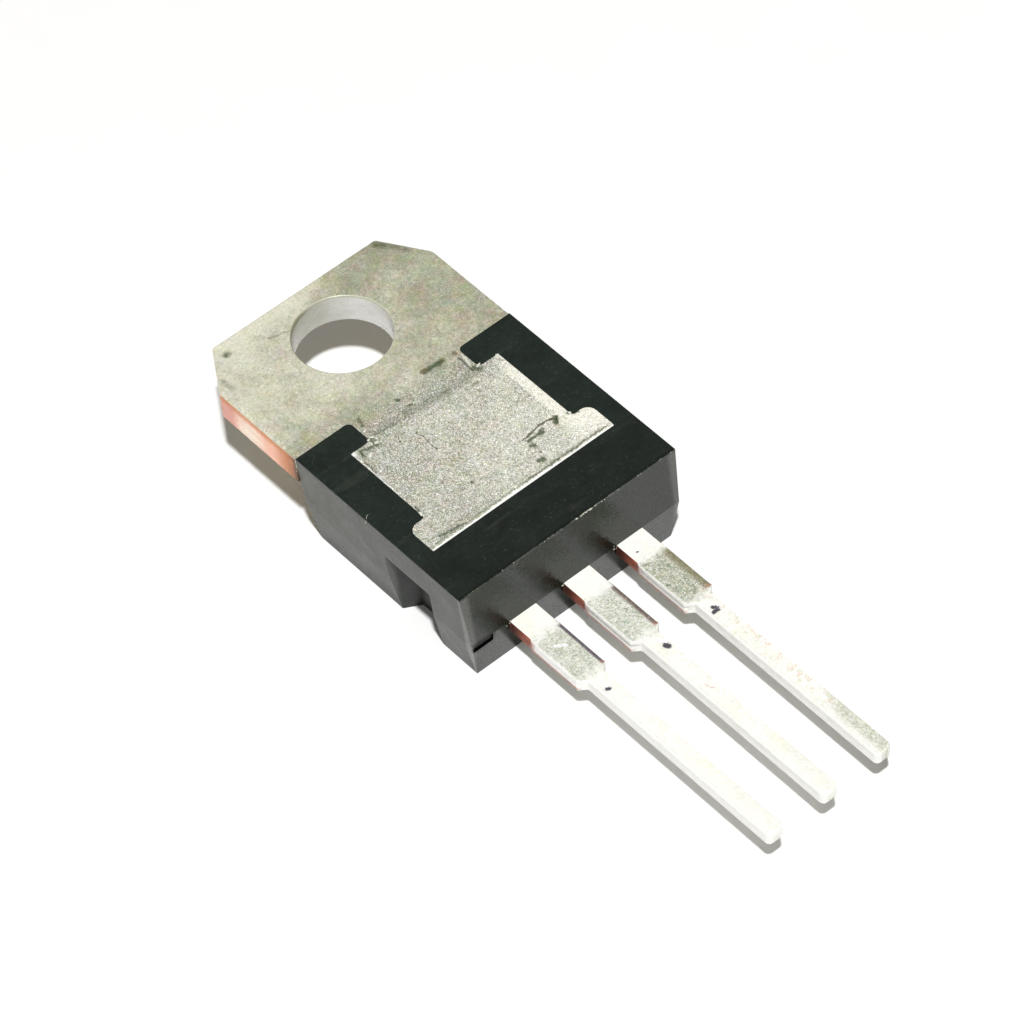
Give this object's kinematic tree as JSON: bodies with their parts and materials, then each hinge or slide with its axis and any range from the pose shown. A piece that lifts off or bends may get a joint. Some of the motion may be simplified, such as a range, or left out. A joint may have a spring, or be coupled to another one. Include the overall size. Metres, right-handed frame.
{
  "type": "voltage regulator",
  "caption": "Power voltage regulator: black moulded body on a drilled metal mounting tab, exposed metal pad on its back, straight flat leads with wide shoulders.",
  "frame": {"origin": "midway along and across the whole part, level with the moulded front face that it lies on", "axes": "+X across the leads, +Y along the part towards the tab's free end, +Z out of the metal back face"},
  "size_m": [0.0102, 0.0292, 0.0045],
  "materials": {
    "moulding": "fine matt black epoxy moulding, slightly green, with crisp edges",
    "tinned_metal": "satin, grainy tin plate over copper, bare copper on the sheared edges next to the moulding",
    "solder": "dull solder",
    "silicon": "polished silicon",
    "bond_wire": "drawn wire"
  },
  "bodies": {
    "root": {"mould_body": "moulding", "heat_sink_header": "tinned_metal", "left_lead": "tinned_metal", "right_lead": "tinned_metal", "die_attach": "solder", "regulator_die": "silicon", "left_bond_wire": "bond_wire", "right_bond_wire": "bond_wire", "ground_bond_wire": "bond_wire"}
  },
  "joints": []
}
